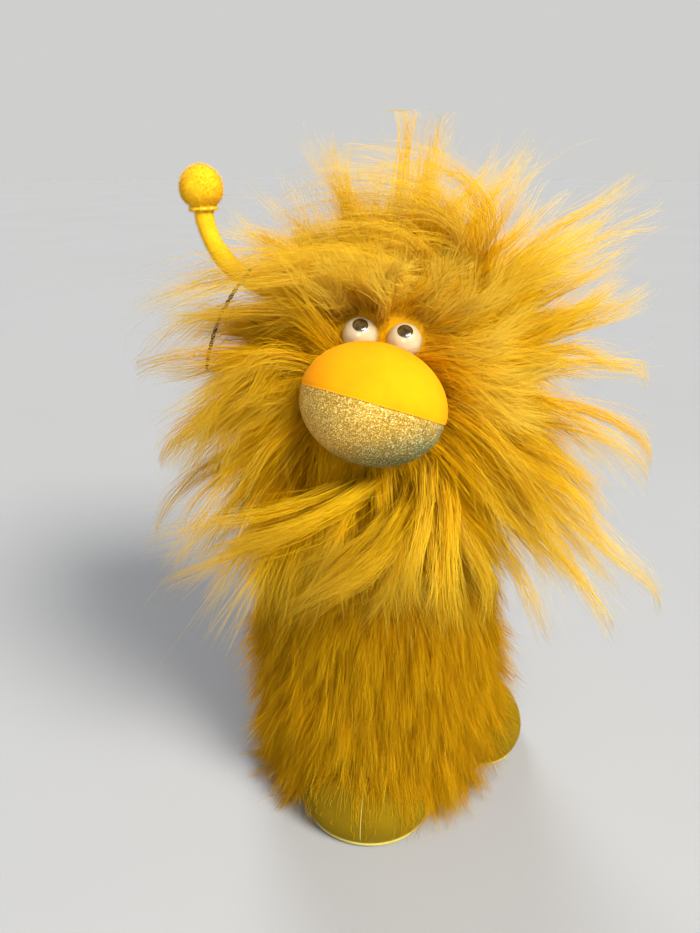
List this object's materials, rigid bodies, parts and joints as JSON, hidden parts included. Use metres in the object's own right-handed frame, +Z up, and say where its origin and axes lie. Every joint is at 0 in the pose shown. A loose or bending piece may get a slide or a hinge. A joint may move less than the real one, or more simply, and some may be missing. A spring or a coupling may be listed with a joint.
{
  "type": "long-haired plush toy",
  "caption": "Upright plush creature with shaggy pile, a round two-tone stuffed snout, close-set dome eyes, ball-tipped antennae and stubby feet; the head turns on a neck disc joint.",
  "frame": {"origin": "centre of the flat base, on the surface the toy stands on", "axes": "+Z up along the body; the face looks along -Y; the toy's own left is +X. The body's front, between the feet, faces 45 degrees from -Y towards +X."},
  "size_m": [0.1772, 0.1639, 0.276],
  "materials": {
    "long_pile": "matte",
    "velour": "matte",
    "velour_foot": "matte",
    "lame": "satin",
    "stuffing": "matte",
    "backing": "matte",
    "thread": "matte",
    "dark_cord": "matte",
    "eye_milk": "gloss",
    "eye_dark": "gloss",
    "washer_plastic": "satin",
    "hardboard": "matte",
    "steel": "satin",
    "pellets": "matte"
  },
  "bodies": {
    "body": {"body_panel_front": "long_pile", "body_panel_back": "long_pile", "base_cover": "backing", "base_board": "hardboard", "pellet_bag": "pellets", "body_stuffing": "stuffing", "neck_disc_lower": "hardboard", "neck_washer_lower": "steel", "neck_bolt": "steel", "neck_locknut": "steel", "body_neck_cap": "backing"},
    "head": {"head_neck_cap": "backing", "neck_disc_upper": "hardboard", "neck_washer_upper": "steel", "head_stuffing": "stuffing", "head_panel_front": "long_pile", "head_panel_back": "long_pile", "flank_cord": "dark_cord", "snout_panel_upper": "velour", "snout_panel_lower": "lame", "snout_stuffing": "stuffing", "eye_ball_right": "eye_milk", "eye_ball_left": "eye_milk", "eye_pupil_right": "eye_dark", "eye_pupil_left": "eye_dark", "eye_washers": "washer_plastic"},
    "antenna_right": {"antenna_right_stalk": "velour", "antenna_right_core": "stuffing", "antenna_right_ball": "velour", "antenna_right_thread": "thread"},
    "antenna_left": {"antenna_left_stalk": "velour", "antenna_left_core": "stuffing", "antenna_left_ball": "velour", "antenna_left_thread": "thread"},
    "foot_right": {"foot_right_upper": "velour_foot", "foot_right_sole": "velour_foot", "foot_right_stuffing": "stuffing"},
    "foot_left": {"foot_left_upper": "velour_foot", "foot_left_sole": "velour_foot", "foot_left_stuffing": "stuffing"}
  },
  "joints": [
    {"name": "head_turn", "type": "hinge", "parent": "body", "child": "head", "pos_m": [0, 0, 0.13715], "axis": [0, 0, 1], "range_deg": [-30, 120]},
    {"name": "antenna_right_sway", "type": "hinge", "parent": "head", "child": "antenna_right", "pos_m": [-0.0375, -0.005, 0.229], "axis": [0, 1, 0], "range_deg": [-12, 12], "stiffness_Nm_per_rad": 0.02},
    {"name": "antenna_left_sway", "type": "hinge", "parent": "head", "child": "antenna_left", "pos_m": [0.0435, 0.003, 0.22], "axis": [-0.8192, 0.5736, 0], "range_deg": [-12, 12], "stiffness_Nm_per_rad": 0.02},
    {"name": "foot_right_lift", "type": "hinge", "parent": "body", "child": "foot_right", "pos_m": [-0.00649, -0.04615, 0.001], "axis": [-0.9903, 0.1392, 0], "range_deg": [0, 12]},
    {"name": "foot_left_lift", "type": "hinge", "parent": "body", "child": "foot_left", "pos_m": [0.04649, 0.00325, 0.001], "axis": [0.0698, -0.9976, 0], "range_deg": [0, 12]}
  ]
}
